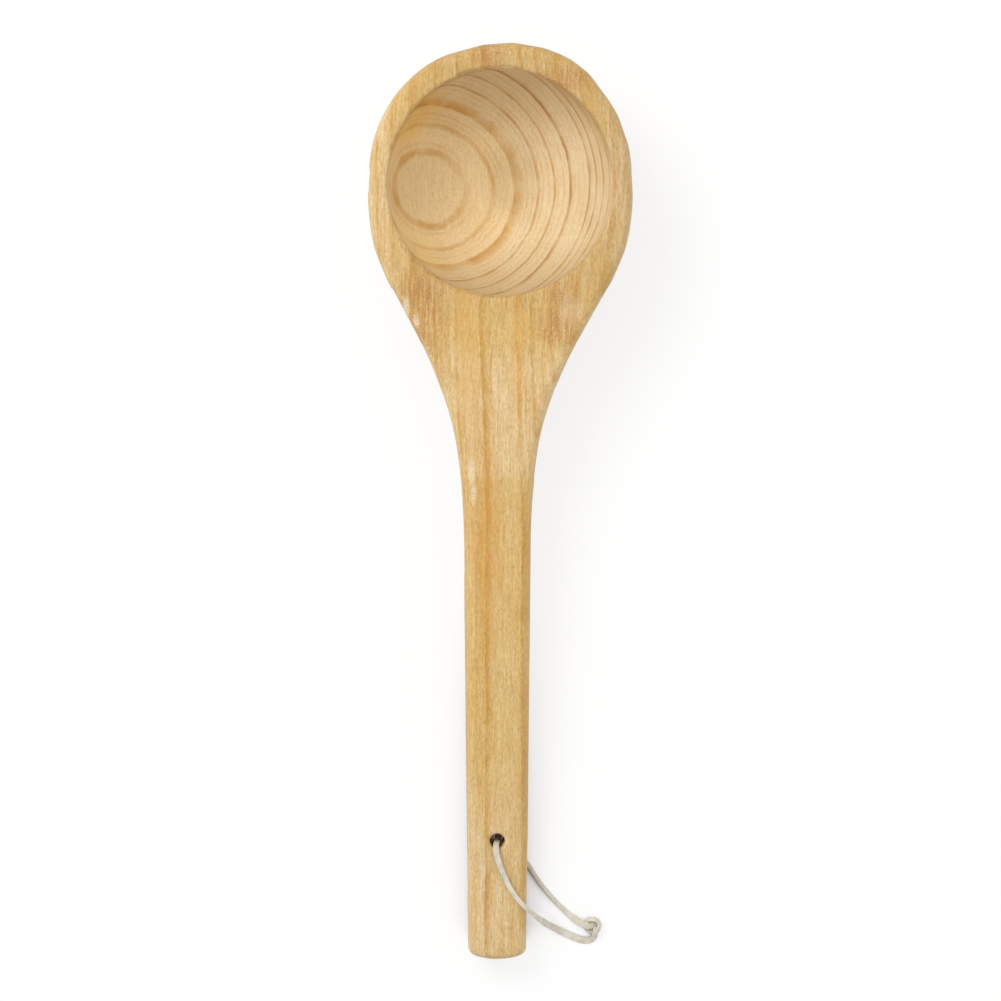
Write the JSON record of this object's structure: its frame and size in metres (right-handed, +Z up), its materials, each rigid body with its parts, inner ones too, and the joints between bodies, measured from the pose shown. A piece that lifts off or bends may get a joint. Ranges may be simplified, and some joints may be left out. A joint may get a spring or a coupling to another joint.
{
  "type": "wooden sauna ladle",
  "caption": "Ladle carved from one piece of pale softwood: round deep bowl, tapering neck, straight handle with a hole and a knotted leather lace",
  "frame": {"origin": "middle of the bowl's flat foot, on the table that the ladle lies on, bowl up", "axes": "+Y towards the bowl's far side, -Y along the handle, +X to the right of the handle seen from above, +Z up; the rim slopes about 6 degrees down towards the handle, because the handle's end rests on the table too"},
  "size_m": [0.1109, 0.3888, 0.063],
  "materials": {
    "carved_wood": "unvarnished carved softwood, fine grain",
    "lace_leather": "undyed matte leather"
  },
  "bodies": {
    "root": {"ladle": "carved_wood", "cord_loop": "lace_leather", "cord_knot": "lace_leather"}
  },
  "joints": []
}
